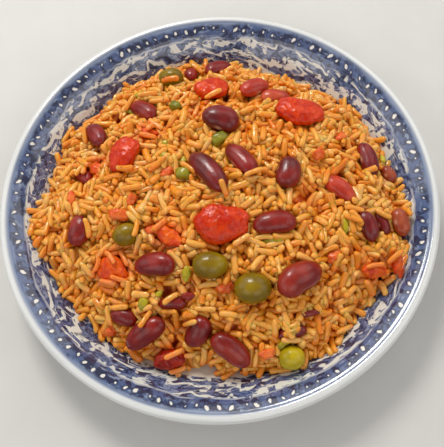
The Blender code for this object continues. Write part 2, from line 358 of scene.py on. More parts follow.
def tomato_material(name, flesh, pale, deep):
    """Wet tomato: red flesh with paler pulp, ridges of juice and tiny sparkles."""
    n = Nodes(name)
    place = n.askew()
    colour = n.mix(n.step(n.noise(place, 190.0, 4.0, 0.6, 0.8), 0.40, 0.60), deep, flesh)
    colour = n.mix(n.step(n.noise(place, 320.0, 3.0, 0.6), 0.52, 0.74) * 0.45, colour, pale)
    height = n.noise(place, 420.0, 3.0, 0.55, 0.8) * 1.6 + n.cells(place, 900.0)[0] * 0.5
    return n.finish(
        colour, n.noise(place, 800.0, 2.0) * 0.30 + 0.16, height, depth=0.35, strength=0.55,
        Subsurface_Weight=0.15, Subsurface_Scale=0.0012, Subsurface_Radius=(1.0, 0.22, 0.10),
        Coat_Weight=0.35, Coat_Roughness=0.06, IOR=1.25,
    )


def green_material(name, skin, pale, dark):
    """Olive and pepper skin: smooth, mottled with yellow, with small dents."""
    n = Nodes(name)
    place = n.askew()
    fine = n.noise(place, 1500.0, 2.0)
    colour = n.mix(n.step(n.noise(place, 140.0, 3.0), 0.36, 0.62), dark, skin)
    colour = n.mix(n.step(n.noise(place, 95.0, 2.0), 0.50, 0.72) * 0.7, colour, pale)
    colour = n.mix(n.step(fine, 0.66, 0.76) * 0.4, colour, pale)
    height = fine * 0.3 + n.noise(place, 300.0, 3.0, 0.5, 1.5)
    return n.finish(
        colour, n.noise(place, 600.0, 2.0) * 0.3 + 0.22, height, depth=0.25, strength=0.5,
        Subsurface_Weight=0.12, Subsurface_Scale=0.0010, Subsurface_Radius=(1.0, 0.8, 0.15),
        Coat_Weight=0.40, Coat_Roughness=0.08, IOR=1.28,
    )


def speck_material():
    n = Nodes("black_pepper")
    shade = n.noise(n.askew(), 2500.0, 3.0)
    return n.finish(n.mix(shade, (40, 22, 10), (92, 52, 24)), 0.6, shade, depth=0.1, strength=0.6)


def floor_material():
    n = Nodes("floor")
    place = n.place()
    colour = n.mix(n.noise(place, 40.0, 4.0), (196, 195, 192), (206, 205, 202))
    return n.finish(colour, 0.65, n.noise(place, 700.0, 3.0), depth=0.05, strength=0.2)


# ---------------------------------------------------------------- meshes

def piece(name, points, faces, material, attributes=None):
    """A smooth mesh object from points in millimetres and triangles or quads, riding on the dish."""
    points, faces = np.asarray(points, np.float32), np.asarray(faces, np.int32)
    mesh = bpy.data.meshes.new(name)
    mesh.vertices.add(len(points))
    mesh.vertices.foreach_set("co", (points * MM).ravel())
    mesh.loops.add(faces.size)
    mesh.loops.foreach_set("vertex_index", faces.ravel())
    mesh.polygons.add(len(faces))
    mesh.polygons.foreach_set("loop_start", np.arange(0, faces.size, faces.shape[1], dtype=np.int32))
    mesh.update(calc_edges=True)
    mesh.validate()
    mesh.shade_smooth()
    for label, values in (attributes or {}).items():
        data = mesh.attributes.new(label, "FLOAT", "POINT").data
        data.foreach_set("value", np.asarray(values, np.float32))
    mesh.materials.append(material)
    made = bpy.data.objects.new(name, mesh)
    bpy.context.scene.collection.objects.link(made)
    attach(made, "root")
    return made


def fan(pole, ring, around):
    """Triangles from a pole to the ring whose points start at this index."""
    here = np.arange(around)
    return np.stack([pole + 0 * here, ring + here, ring + (here + 1) % around], 1)


def strip(low, high, around):
    """Triangles between two rings, whose points start at these indices."""
    here = np.arange(around)
    after = (here + 1) % around
    halves = [(low + here, high + here, high + after), (low + here, high + after, low + after)]
    return np.concatenate([np.stack(half, 1) for half in halves])


def skin(rings, around):
    """Triangles of a closed skin: its points are its two poles, then ring after ring."""
    last = 2 + (rings - 1) * around
    strips = [strip(ring, ring + around, around) for ring in range(2, last, around)]
    return np.concatenate([fan(0, 2, around), fan(1, last, around)[:, ::-1], *strips])


def ball(around, along):
    """A unit ball with its poles on the X axis: its points and triangles."""
    turns = circle(around)
    rings = [(-math.cos(math.pi * k / along), math.sin(math.pi * k / along)) for k in range(1, along)]
    points = [(-1, 0, 0), (1, 0, 0)]
    points += [(x, radius * math.cos(t), radius * math.sin(t)) for x, radius in rings for t in turns]
    return np.array(points, float), skin(len(rings), around)


def facing_out(points, faces):
    """The faces, turned so that the mesh's volume is positive."""
    a, b, c = (points[faces[:, k]] for k in range(3))
    volume = np.einsum("ij,ij->i", a, np.cross(b, c)).sum()
    return faces if volume > 0 else faces[:, ::-1]


def rough(points, scale, seed, octaves=1):
    """A smooth random value from about -1 to 1 at each point; scale is its feature size."""
    shift = Vector((seed * 7.3, seed * 3.1, seed * 5.7))
    values = [noise.fractal(Vector(p) / scale + shift, 1.0, 2.0, octaves) for p in points.tolist()]
    return np.array(values)


# ---------------------------------------------------------------- the frame's places

class Solid:
    """A CAD node measured along its own axes: length, width and thickness, the last one upwards."""

    def __init__(self, node):
        co = np.array([v.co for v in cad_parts[node].data.vertices]) / MM
        mean = co.mean(0)
        _, turn = np.linalg.eigh(np.cov((co - mean).T))
        length, width = turn[:, 2], turn[:, 1]
        thick = np.cross(length, width)
        if thick[2] < 0:
            width, thick = -width, -thick
        self.axes = np.array([length, width, thick])
        along = (co - mean) @ self.axes.T
        low, high = along.min(0), along.max(0)
        self.half = (high - low) / 2
        self.middle = mean + (low + high) / 2 @ self.axes
        x, y = along[:, 0], along[:, 1]
        self.bend = -1.0 if np.cov(y, x**2)[0, 1] > 0 else 1.0
        self.fat_end = 1.0 if np.abs(along[x > 0, 2]).mean() > np.abs(along[x < 0, 2]).mean() else -1.0

    def placed(self, points):
        """Local points scaled to the solid's box and moved to its place."""
        low, high = points.min(0), points.max(0)
        fitted = (points - (low + high) / 2) / ((high - low) / 2) * self.half
        return fitted @ self.axes + self.middle


class Bit:
    """A small bit that lies on the rice, with the same measures as a solid."""

    def __init__(self, surface, x, y, turn, length, width, rise):
        up = surface.normal(x, y)
        ahead = np.array([math.cos(math.radians(turn)), math.sin(math.radians(turn)), 0.0])
        across = np.cross(up, ahead)
        across /= np.linalg.norm(across)
        self.axes = np.array([np.cross(across, up), across, up])
        self.size = np.array([length, width, BIT_THICKNESS * width]) / 2
        self.half = self.size * BIT_ROOM
        self.middle = np.array([x, y, float(surface.at(x, y))]) + up * (rise - BIT_SUNK)


def node_names(kind):
    return sorted(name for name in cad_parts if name.startswith(kind + "_"))


class Field:
    """Heights on a square grid round the plate's axis, read between its points."""

    def __init__(self, heights):
        self.heights = heights
        self.half = (len(heights) - 1) / 2

    def at(self, x, y):
        u = np.clip(np.asarray(x) / CELL + self.half, 0, 2 * self.half - 1e-6)
        v = np.clip(np.asarray(y) / CELL + self.half, 0, 2 * self.half - 1e-6)
        i, j = u.astype(int), v.astype(int)
        s, t = u - i, v - j
        h = self.heights
        near, far = (h[i, k] * (1 - s) + h[i + 1, k] * s for k in (j, j + 1))
        return near * (1 - t) + far * t

    def normal(self, x, y):
        slope_x = (self.at(x + CELL, y) - self.at(x - CELL, y)) / (2 * CELL)
        slope_y = (self.at(x, y + CELL) - self.at(x, y - CELL)) / (2 * CELL)
        return unit(np.stack([-slope_x, -slope_y, np.ones_like(slope_x)], -1))


def grid():
    steps = int(GRID_REACH / CELL)
    line = np.arange(-steps, steps + 1) * CELL
    return np.meshgrid(line, line, indexing="ij")


def plate_height(radius):
    return np.interp(radius, *zip(*PLATE_UPPER, *PLATE_WALL))


def seen_from_above(node):
    """Heights of a node's upper side on the grid, with NO_HEIGHT where there is none."""
    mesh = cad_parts[node].data
    points = [v.co / MM for v in mesh.vertices]
    tree = BVHTree.FromPolygons(points, [tuple(p.vertices) for p in mesh.polygons])
    xs, ys = grid()
    heights = np.full(xs.shape, NO_HEIGHT)
    for index in np.ndindex(xs.shape):
        hit = tree.ray_cast(Vector((xs[index], ys[index], -NO_HEIGHT)), Vector((0, 0, -1)))[0]
        if hit:
            heights[index] = hit.z
    return heights


def spread(heights, reach, pick):
    """The highest or lowest height within reach of each point of the grid."""
    steps = int(reach / CELL)
    padded = np.pad(heights, steps, mode="edge")
    result = heights.copy()
    size = len(heights)
    for i in range(-steps, steps + 1):
        for j in range(-steps, steps + 1):
            if i * i + j * j <= steps * steps:
                moved = padded[steps + i:steps + i + size, steps + j:steps + j + size]
                result = pick(result, moved)
    return result


def smoothed(heights, times):
    for _ in range(times):
        padded = np.pad(heights, 1, mode="edge")
        heights = sum(padded[i:i + len(heights), j:j + len(heights)] for i in range(3) for j in range(3)) / 9
    return heights


def heap_fields():
    """The heap's surface with its pockets closed, where it is, and the core under its grains."""
    heap = seen_from_above("rice_heap")
    inside = heap > 0
    closed = spread(spread(heap, POCKET, np.maximum), POCKET, np.minimum)
    xs, ys = grid()
    plate = plate_height(np.hypot(xs, ys))
    surface = smoothed(np.where(inside, np.maximum(closed, plate), plate), 2)
    flat = np.stack([xs.ravel(), ys.ravel(), 0 * xs.ravel()], 1)
    clumps = CLUMP_HEIGHT * rough(flat, CLUMP_SIZE, 7, 2).reshape(xs.shape)
    surface = surface + clumps * np.clip((surface - plate) / CLUMP_FADE, 0, 1)
    core = np.maximum(surface - RICE_DEPTH, plate)
    rice_there = spread(inside.astype(float), EDGE_REACH, np.maximum)
    surface = np.where(rice_there > 0, np.maximum(surface, plate + EDGE_HEIGHT), surface)
    return Field(surface), Field(inside.astype(float)), Field(rice_there), Field(core), Field(plate)


def heap_edge(inside, turns):
    """The heap's radius at each angle, found by stepping inwards from the plate's lip."""
    radii = np.arange(GRID_REACH, 40, -0.5)
    on = [inside.at(radii * math.cos(turn), radii * math.sin(turn)) > 0.5 for turn in turns]
    return radii[np.argmax(on, axis=1)]


# ---------------------------------------------------------------- plate and core

def curve_through(points, steps):
    """A smooth open curve through the points, with this many steps between each two."""
    ends = [points[0], *points, points[-1]]
    curve = []
    for a, b, c, d in zip(ends, ends[1:], ends[2:], ends[3:]):
        for k in range(steps):
            t = k / steps
            blend = [
                q + 0.5 * t * (r - p + t * (2 * p - 5 * q + 4 * r - s + t * (3 * (q - r) + s - p)))
                for p, q, r, s in zip(a, b, c, d)
            ]
            curve.append(tuple(blend))
    return curve + [points[-1]]


def plate_profile():
    middle = PLATE_RADIUS - LIP_RADIUS
    lip = []
    for degrees in range(140, -61, -10):
        turn = math.radians(degrees)
        lip.append((middle + LIP_RADIUS * math.cos(turn), LIP_HEIGHT + LIP_RADIUS * (math.sin(turn) - 1)))
    upper = curve_through(PLATE_UPPER + PLATE_WALL, 4)
    under = curve_through(PLATE_UNDER + PLATE_FOOT, 4)
    return upper + lip + under


def make_plate():
    """The plate, turned about its axis: its profile starts and ends there."""
    profile = plate_profile()
    turns = circle(PLATE_SEGMENTS)
    points = [(0, 0, profile[0][1]), (0, 0, profile[-1][1])]
    points += [(r * math.cos(t), r * math.sin(t), z) for r, z in profile[1:-1] for t in turns]
    points, faces = np.array(points), skin(len(profile) - 2, PLATE_SEGMENTS)
    plate = piece("glazed_plate", points, facing_out(points, faces), glaze_material())
    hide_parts("plate")


def make_core(surface, inside, core):
    """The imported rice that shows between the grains: a lumpy dome, a little inside the heap's edge."""
    turns = circle(CORE_SEGMENTS)
    edge = heap_edge(inside, turns) - CORE_INSET
    rings = []
    for ring in range(1, CORE_RINGS + 1):
        share = ring / CORE_RINGS
        x, y = edge * share * np.cos(turns), edge * share * np.sin(turns)
        rings.append(np.stack([x, y, core.at(x, y) + CORE_LIFT * (1 - share**8)], 1))
    top = np.concatenate([[[0, 0, core.at(0, 0) + CORE_LIFT]], *rings])
    plate = plate_height(np.hypot(top[:, 0], top[:, 1]))
    lumps = CORE_LUMP * rough(top, CORE_LUMP_SIZE, 3, 2)
    top[:, 2] += lumps * np.clip((top[:, 2] - plate) / 2, 0, 1)
    low = top.copy()
    low[:, 2] = plate + CORE_GAP
    top[:, 2] = np.maximum(top[:, 2], low[:, 2] + CORE_LEAST)
    count, around = len(top), CORE_SEGMENTS
    strips = [strip(ring, ring + around, around) for ring in range(1, count - around, around)]
    dome = np.concatenate([fan(0, 1, around), *strips])
    rim = strip(count - around, 2 * count - around, around)
    points, faces = np.concatenate([top, low]), np.concatenate([dome, dome[:, ::-1] + count, rim])
    made = piece("rice_core", points, facing_out(points, faces), core_material())
    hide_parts("rice_heap")


# ---------------------------------------------------------------- rice

def near_pairs(points, reach):
    """Pairs of points closer than reach, found by sorting the points into cells of that size."""
    cell = np.floor(points / reach).astype(np.int64)
    cell -= cell.min(0) - 1
    size = cell.max(0) + 2
    key = (cell[:, 0] * size[1] + cell[:, 1]) * size[2] + cell[:, 2]
    order = np.argsort(key, kind="stable")
    ranked = key[order]
    firsts, seconds = [], []
    for i, j, k in product((-1, 0, 1), repeat=3):
        if (i, j, k) < (0, 0, 0):
            continue
        target = key + (i * size[1] + j) * size[2] + k
        start = np.searchsorted(ranked, target, "left")
        count = np.searchsorted(ranked, target, "right") - start
        first = np.repeat(np.arange(len(points)), count)
        within = np.arange(count.sum()) - np.repeat(np.cumsum(count) - count, count)
        second = order[np.repeat(start, count) + within]
        if (i, j, k) == (0, 0, 0):
            once = first < second
            first, second = first[once], second[once]
        firsts.append(first)
        seconds.append(second)
    first, second = np.concatenate(firsts), np.concatenate(seconds)
    close = np.linalg.norm(points[first] - points[second], axis=1) < reach
    return first[close], second[close]


class Grains:
    """Rice grains as rods: middle, direction, length, radius, each a row of beads while packing."""

    STEPS = np.arange(BEADS) - (BEADS - 1) / 2

    def __init__(self, middles, headings, lengths, radii):
        self.middles, self.headings, self.lengths, self.radii = middles, headings, lengths, radii

    def spacing(self):
        return (self.lengths - 2 * self.radii) / (BEADS - 1)

    def beads(self):
        offsets = self.STEPS[:, None] * self.spacing()[:, None, None] * self.headings[:, None]
        return self.middles[:, None] + offsets

    def read(self, beads):
        """Takes the middles and directions that fit moved beads best."""
        self.middles = beads.mean(1)
        self.headings = unit(np.einsum("k,gkc->gc", self.STEPS, beads))


def scattered(surface, inside, solids):
    """Grains at random places in the rice's layer, none starting inside or on top of a piece."""
    middles = np.empty((0, 3))
    while len(middles) < GRAIN_COUNT:
        x, y = RNG.uniform(-TRY_REACH, TRY_REACH, (2, TRIES))
        kept = inside.at(x, y) > RNG.uniform(*EDGE_CHANCE, len(x))
        x, y = x[kept], y[kept]
        normal = surface.normal(x, y)
        thickness = surface.at(x, y) - plate_height(np.hypot(x, y))
        depth = RNG.uniform(0, 1, len(x)) ** 1.1 * np.clip(thickness - 1.2, THINNEST, RICE_DEPTH - 1)
        on = np.stack([x, y, surface.at(x, y)], 1) - normal * depth[:, None]
        free = np.ones(len(x), bool)
        for solid in solids:
            local = (on - solid.middle) @ solid.axes.T / (solid.half + 0.2)
            over = np.hypot(local[:, 0], local[:, 1]) < 0.95
            free &= ~((np.linalg.norm(local, axis=1) < 1) | (over & (local[:, 2] > -0.6)))
        middles = np.concatenate([middles, on[free]])
    middles = middles[:GRAIN_COUNT]
    normal = surface.normal(middles[:, 0], middles[:, 1])
    lie = math.pi * rough(middles * (1, 1, 0), LIE_SIZE, 11, 1) * 1.5 + RNG.normal(0, LIE_SPREAD, GRAIN_COUNT)
    loose = RNG.uniform(size=GRAIN_COUNT) < LOOSE_SHARE
    lie[loose] = RNG.uniform(0, math.pi, loose.sum())
    across = unit(np.cross(normal, np.stack([np.cos(lie), np.sin(lie), 0 * lie], 1)))
    tilt = np.radians(RNG.normal(0, TILT_SPREAD, GRAIN_COUNT))
    steep = RNG.uniform(size=GRAIN_COUNT) < STEEP_SHARE
    tilt[steep] = np.radians(RNG.uniform(-STEEPEST, STEEPEST, steep.sum()))
    headings = across * np.cos(tilt)[:, None] + normal * np.sin(tilt)[:, None]
    lengths = np.clip(RNG.normal(GRAIN_LENGTH, LENGTH_SPREAD, GRAIN_COUNT), *LENGTH_RANGE)
    broken = RNG.uniform(size=GRAIN_COUNT) < BROKEN_SHARE
    lengths[broken] = RNG.uniform(*BROKEN_RANGE, broken.sum())
    radii = np.clip(RNG.normal(GRAIN_RADIUS, RADIUS_SPREAD, GRAIN_COUNT), *RADIUS_RANGE)
    return Grains(middles, headings, lengths, radii)


def packed(grains, surface, floor, solids):
    """Pushes the grains out of each other, the pieces, the core and the plate, and settles them."""
    count = len(grains.lengths)
    owner = np.repeat(np.arange(count), BEADS)
    radius = np.repeat(grains.radii, BEADS) * GRAIN_OVERLAP
    rise = np.repeat(np.clip(RNG.normal(RISE, RISE_SPREAD, count), *RISE_RANGE), BEADS)
    for turn in range(ROUNDS):
        flat = grains.beads().reshape(-1, 3)
        if turn % LISTING == 0:
            first, second = near_pairs(flat, 2 * GRAIN_RADIUS + 1.0)
            apart = owner[first] != owner[second]
            first, second = first[apart], second[apart]
        gap = flat[second] - flat[first]
        distance = np.linalg.norm(gap, axis=1) + 1e-6
        overlap = np.maximum(radius[first] + radius[second] - distance, 0)
        move = gap * (PUSH * overlap / distance)[:, None]
        for axis in range(3):
            flat[:, axis] += np.bincount(second, move[:, axis], len(flat))
            flat[:, axis] -= np.bincount(first, move[:, axis], len(flat))
        up = surface.normal(flat[:, 0], flat[:, 1])
        above = (flat[:, 2] - surface.at(flat[:, 0], flat[:, 1])) * up[:, 2] - rise
        settle = SETTLE * (1 - turn / ROUNDS) + PRESS * np.maximum(above, 0)
        flat -= up * settle[:, None]
        for solid in solids:
            near = np.linalg.norm(flat - solid.middle, axis=1) < solid.half[0] + 3
            local = (flat[near] - solid.middle) @ solid.axes.T
            reach = solid.half[None, :] + radius[near][:, None] * 0.9
            depth = np.linalg.norm(local / reach, axis=1)
            local *= np.where(depth < 1, 1 / np.maximum(depth, 0.3), 1)[:, None]
            flat[near] = local @ solid.axes + solid.middle
        ground = floor.at(flat[:, 0], flat[:, 1]) + radius
        slope = floor.normal(flat[:, 0], flat[:, 1])
        sunk = np.maximum(ground - flat[:, 2], 0) * slope[:, 2]
        flat += slope * sunk[:, None]
        grains.read(flat.reshape(count, BEADS, 3))
    return grains


LAID_LENGTHS, LAID_RADII, LAID_RISE = (7.6, 9.6), (1.2, 1.45), 0.6

# Grains that lie over a piece's edge: the piece, the direction of that edge from its middle in degrees
# from +X, how far out it is, from 0 to 1, and which way the grain points.
LAID_OVER = [
    ("bean_07", -60, 0.95, -75), ("tomato_02", -90, 0.95, 25), ("olive_04", 20, 0.9, 65),
    ("bean_13", 0, 0.9, -65), ("bean_01", 175, 0.9, 70), ("bean_08", -65, 0.95, 15),
    ("tomato_04", -45, 0.97, 38), ("tomato_05", -50, 0.8, -35),
    ("tomato_05", 150, 0.85, 60), ("tomato_05", -110, 0.85, 10), ("tomato_06", 60, 0.85, 20),
    ("tomato_06", -60, 0.85, -50), ("tomato_08", 90, 0.8, 20), ("tomato_08", -80, 0.85, -20),
    ("tomato_09", 120, 0.8, 40), ("bean_15", 140, 0.93, 80), ("bean_16", 70, 0.93, 60),
    ("bean_18", 110, 0.93, -20), ("bean_19", 170, 0.9, 50), ("bean_20", -120, 0.9, 75),
    ("bean_22", 60, 0.9, 40), ("bean_02", 140, 0.93, 40), ("bean_26", 90, 0.8, 10),
    ("bean_23", 90, 0.85, 20), ("bean_14", -110, 0.95, 20), ("tomato_07", 120, 0.85, 30),
    ("tomato_10", 90, 0.85, 10), ("pepper_02", 30, 0.9, -50), ("olive_05", -90, 0.95, 5),
    ("bean_27", 60, 0.85, 20), ("tomato_01", -80, 0.97, -20), ("bean_23", 60, 0.6, -80),
    ("bean_23", 130, 0.7, 70), ("bean_26", 60, 0.6, 60), ("bean_26", 130, 0.6, -70),
    ("bean_26", 90, 0.3, 20), ("bean_26", -100, 0.7, -35), ("bean_23", 90, 0.4, 60),
    ("bean_24", 90, 0.7, 60), ("bean_24", 40, 0.8, -50),
    ("bean_20", 90, 0.7, 30), ("bean_19", 90, 0.9, -10), ("bean_27", 120, 0.6, -30),
    ("tomato_08", 20, 0.7, 60), ("tomato_08", 150, 0.7, -60), ("tomato_05", 80, 0.8, -60),
]


def laid_over():
    """Places and directions of the grains of LAID_OVER, resting on their pieces' curved tops."""
    middles, headings = [], []
    for node, toward, out, pointing in LAID_OVER:
        solid = Solid(node)
        toward, pointing = math.radians(toward), math.radians(pointing)
        flat = (solid.axes @ np.array([math.cos(toward), math.sin(toward), 0]))[:2] / solid.half[:2]
        flat *= out / np.linalg.norm(flat)
        unit = np.array([*flat, math.sqrt(1 - out * out)])
        normal = (unit / solid.half) @ solid.axes
        normal /= np.linalg.norm(normal)
        ahead = np.array([math.cos(pointing), math.sin(pointing), 0])
        ahead -= normal * (ahead @ normal)
        headings.append(ahead / np.linalg.norm(ahead))
        middles.append((unit * solid.half) @ solid.axes + solid.middle + normal * GRAIN_RADIUS * LAID_RISE)
    return np.array(middles), np.array(headings)


def with_laid_over(grains):
    """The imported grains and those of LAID_OVER."""
    middles, headings = laid_over()
    lengths = RNG.uniform(*LAID_LENGTHS, len(middles))
    radii = RNG.uniform(*LAID_RADII, len(middles))
    olds = grains.middles, grains.headings, grains.lengths, grains.radii
    return Grains(*map(np.concatenate, zip(olds, (middles, headings, lengths, radii))))


AROUND = 12
ALONG = np.array([-0.975, -0.87, -0.66, -0.34, 0.0, 0.34, 0.66, 0.87, 0.975])

# How grains differ: spreads of their bend, twist, taper and girth, and ranges of flatness and bluntness.
BEND, TWIST, TAPER, UNEVEN = 0.065, 0.3, 0.09, 0.045
FLATNESS, BLUNTNESS, GROOVE = (0.80, 1.0), (5.0, 11.0), 0.07


def grain_meshes(grains):
    """Points of every grain: a blunt rod, a little bent, flattened, tapered and uneven."""
    count = len(grains.lengths)
    side = unit(np.cross(grains.headings, RNG.normal(size=(count, 3))))
    other = np.cross(grains.headings, side)
    half = grains.lengths / 2
    bend = RNG.normal(0, BEND, count) * grains.lengths
    twist = RNG.normal(0, TWIST, count)
    taper = RNG.normal(0, TAPER, count)
    flat = RNG.uniform(*FLATNESS, count)
    blunt = RNG.uniform(*BLUNTNESS, (count, 1))
    girth = (1 - np.abs(ALONG) ** blunt) ** 0.5
    girth *= 1 + taper[:, None] * ALONG
    girth *= 1 + RNG.normal(0, UNEVEN, girth.shape)
    along = ALONG * half[:, None]
    line = grains.middles[:, None] + along[:, :, None] * grains.headings[:, None]
    bow = bend[:, None] * (ALONG**2 - 0.35)
    line = line + bow[:, :, None] * side[:, None]
    angle = circle(AROUND) + twist[:, None, None] * ALONG[:, None]
    reach = grains.radii[:, None, None] * girth[:, :, None]
    out_a = reach * np.cos(angle) * (1 - GROOVE * np.cos(angle) ** 8)
    out_b = reach * np.sin(angle) * flat[:, None, None]
    rings = line[:, :, None] + out_a[..., None] * side[:, None, None]
    rings = rings + out_b[..., None] * other[:, None, None]
    bowed = grains.middles + (bend * 0.65)[:, None] * side
    tips = [(bowed + end * half[:, None] * grains.headings)[:, None] for end in (-1, 1)]
    return np.concatenate([*tips, rings.reshape(count, -1, 3)], axis=1)


RICE_KINDS = [
    ("rice_pale", (230, 182, 108), (229, 168, 72), (228, 143, 22)),
    ("rice_golden", (228, 176, 94), (227, 160, 56), (224, 134, 12)),
    ("rice_orange", (226, 168, 80), (224, 151, 40), (219, 123, 6)),
    ("rice_saucy", (224, 158, 62), (220, 139, 27), (213, 111, 2)),
]

# How much some pieces of tomato stain the rice round them; the others are firmer and stain it less.
STAINING, FIRM_STAINING = {5: 1.0, 6: 0.9, 8: 1.0, 9: 1.0, 7: 0.8, 10: 0.8, 11: 1.0}, 0.5


def make_rice(surface, rice_there, core, plate, solids):
    """The grains, a quarter of them in each shade, marked with the tomato's stain and with painted shade by
    depth and underside.
    """
    floor = Field(np.maximum(core.heights, plate.heights))
    soft_edge = Field(smoothed(rice_there.heights, 2))
    grains = with_laid_over(packed(scattered(surface, soft_edge, solids), surface, floor, solids))
    points = grain_meshes(grains)
    tint = RNG.uniform(0, 1, len(points))
    # Painted shade, partly sauce: deeper grains and each grain's underside get a darker orange.
    depth = np.clip((surface.at(points[..., 0], points[..., 1]) + 1 - points[..., 2]) / DEPTH_SHADE_REACH, 0, 1)
    side = np.clip((grains.middles[:, None, 2] - points[..., 2]) / grains.radii[:, None] + 0.35, 0, 1)
    depth = np.maximum(depth, 0.8 * side)
    stain = np.zeros(depth.shape)
    for node in node_names("tomato"):
        tomato = Solid(node)
        away = np.linalg.norm(points - tomato.middle, axis=2) - tomato.half[1]
        strength = STAINING.get(int(node[-2:]), FIRM_STAINING)
        stain = np.maximum(stain, strength * np.clip(1 - away / STAIN_REACH, 0, 1))
    faces = skin(len(ALONG), AROUND)[:, ::-1]
    share = RNG.uniform(0, 1, len(points))
    along = np.append([1.0, 1.0], np.repeat(np.abs(ALONG), AROUND))
    part = 1 / len(RICE_KINDS)
    for kind, (name, light, mid, dark) in enumerate(RICE_KINDS):
        picked = (share >= kind * part) & (share < (kind + 1) * part)
        own = points[picked]
        shift = np.arange(len(own))[:, None, None] * own.shape[1]
        triangles = (faces[None] + shift).reshape(-1, 3)
        attributes = {
            "tint": np.repeat(tint[picked], own.shape[1]),
            "along": np.tile(along, len(own)),
            "depth": depth[picked].ravel(),
            "stain": stain[picked].ravel(),
        }
        material = rice_material(name, light, mid, dark)
        rice = piece(name, own.reshape(-1, 3), triangles, material, attributes)
        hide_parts("rice_heap")
    return grains


# ---------------------------------------------------------------- beans, tomatoes, olives, pepper

BEAN_LOOKS = {
    "bean_maroon": ((140, 18, 8), (164, 44, 26), (108, 6, 4)),
    "bean_dark": ((124, 12, 8), (148, 34, 24), (92, 4, 4)),
    "bean_red": ((140, 20, 4), (162, 50, 26), (114, 8, 2)),
    "bean_pink": ((192, 58, 26), (220, 116, 70), (160, 34, 12)),
    "bean_brown": ((158, 60, 24), (186, 92, 50), (122, 36, 12)),
}
BEAN_KINDS = {
    "bean_dark": (6, 7, 9, 18, 21, 27),
    "bean_red": (2, 3, 10, 11, 16, 17),
    "bean_pink": (4, 5, 15),
    "bean_brown": (22, 25),
}
WRINKLED, SMOOTH = {15: 2.2, 21: 1.6, 22: 1.8, 25: 1.8, 27: 1.8, 19: 1.4}, 0.7

TOMATO_LOOKS = {
    "tomato_red": ((206, 56, 0), (226, 100, 24), (184, 34, 0)),
    "tomato_orange": ((224, 92, 10), (234, 136, 56), (202, 60, 6)),
    "tomato_deep": ((172, 36, 8), (200, 74, 34), (136, 16, 4)),
}
TOMATO_KINDS = {"tomato_orange": (5, 7, 8, 9, 10, 11), "tomato_deep": (6,)}

OLIVE_LOOKS = {
    "olive_olive": ((132, 104, 0), (150, 124, 6), (114, 90, 0)),
    "olive_yellow": ((184, 160, 8), (204, 184, 32), (158, 138, 6)),
}
OLIVE_KINDS = {"olive_yellow": (3,)}

PEPPER_LOOKS = {"pepper": ((140, 132, 22), (182, 170, 56), (106, 106, 14))}


def bean_form(solid, number):
    """A kidney: blunt ends, one fuller than the other, a bowed back and a small dip in its front."""
    points, faces = ball(44, 30)
    x, y, z = points.T
    girth = np.sqrt(y * y + z * z)
    wanted = (1 - np.abs(x) ** 2.5) ** 0.5
    grow = np.where(girth > 1e-6, wanted / np.maximum(girth, 1e-6), 1)
    ends = 1 + 0.07 * x * (1 if number % 2 else -1)
    y, z = y * grow * ends, z * grow * ends
    front = np.clip(-y * solid.bend, 0, 1)
    dip = 0.05 * np.exp(-((x / 0.33) ** 2)) * front
    long, wide, thick = solid.half
    bow = 0.13 * wide * (x * x - 0.35)
    local = np.stack([x * long, (y * (1 - dip)) * wide - bow * solid.bend, z * thick], 1)
    crumple = WRINKLED.get(number, SMOOTH)
    dent = rough(local, 7.0, number, 1) * 0.035 + rough(local, 2.6, number + 50, 2) * 0.012 * crumple
    scar = np.exp(-((x / 0.16) ** 2)) * (front > 0.9) * (np.abs(z) < 0.22)
    return local * (1 + dent)[:, None], faces, {"scar": scar}


def tomato_form(solid, number):
    """A soft wedge of tomato: lumpy, creased and thinner at one end."""
    points, faces = ball(60, 40)
    x, y, z = points.T
    turn = np.arctan2(y, x)
    lump = 1 + 0.04 * np.sin(3 * turn + number) + 0.04 * np.sin(5 * turn + 2 * number)
    wedge = 1 + 0.2 * x * solid.fat_end
    local = np.stack([x * lump, y * lump, np.sign(z) * np.abs(z) ** 0.8 * wedge], 1) * solid.half
    swell = rough(local, 4.5, number + 100, 2) * 0.55
    crease = -np.abs(rough(local, 3.2, number + 200, 2)) * 0.7
    fine = rough(local, 1.3, number + 300, 2) * 0.16
    out = unit(local / (solid.half**2))
    return local + out * (swell + crease + fine)[:, None], faces, {}


def olive_form(solid, number):
    """A smooth olive with shallow dents and a small hole at one end."""
    points, faces = ball(48, 32)
    local = points * solid.half
    dent = rough(local, 6.0, number + 400, 1) * 0.03 + rough(local, 2.2, number + 450, 2) * 0.008
    pit = 0.06 * np.exp(-(((points[:, 0] - 1) / 0.05) ** 2))
    return local * (1 + dent - pit)[:, None], faces, {}


def pepper_form(solid, number):
    """A cut bit of pepper: a box with soft corners, arched along its length."""
    points, faces = ball(32, 22)
    boxy = np.sign(points) * np.abs(points) ** 0.6
    local = boxy * solid.half
    local[:, 2] += 0.3 * solid.half[2] * (1 - boxy[:, 0] ** 2)
    return local * (1 + 0.05 * rough(local, 2.0, number + 500, 2))[:, None], faces, {}


def make_pieces(kind, form, paint, looks, kinds, start):
    """A detailed piece for each CAD node of a kind, in the first look where kinds names no other."""
    materials = {look: paint(look, *shades) for look, shades in looks.items()}
    for node in node_names(kind):
        number = int(node[-2:])
        solid = Solid(node)
        local, faces, attributes = form(solid, number)
        points = solid.placed(local)
        look = next((look for look, numbers in kinds.items() if number in numbers), next(iter(looks)))
        made = piece(start + node, points, facing_out(points, faces), materials[look], attributes)
        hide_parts(node)


# ---------------------------------------------------------------- small bits

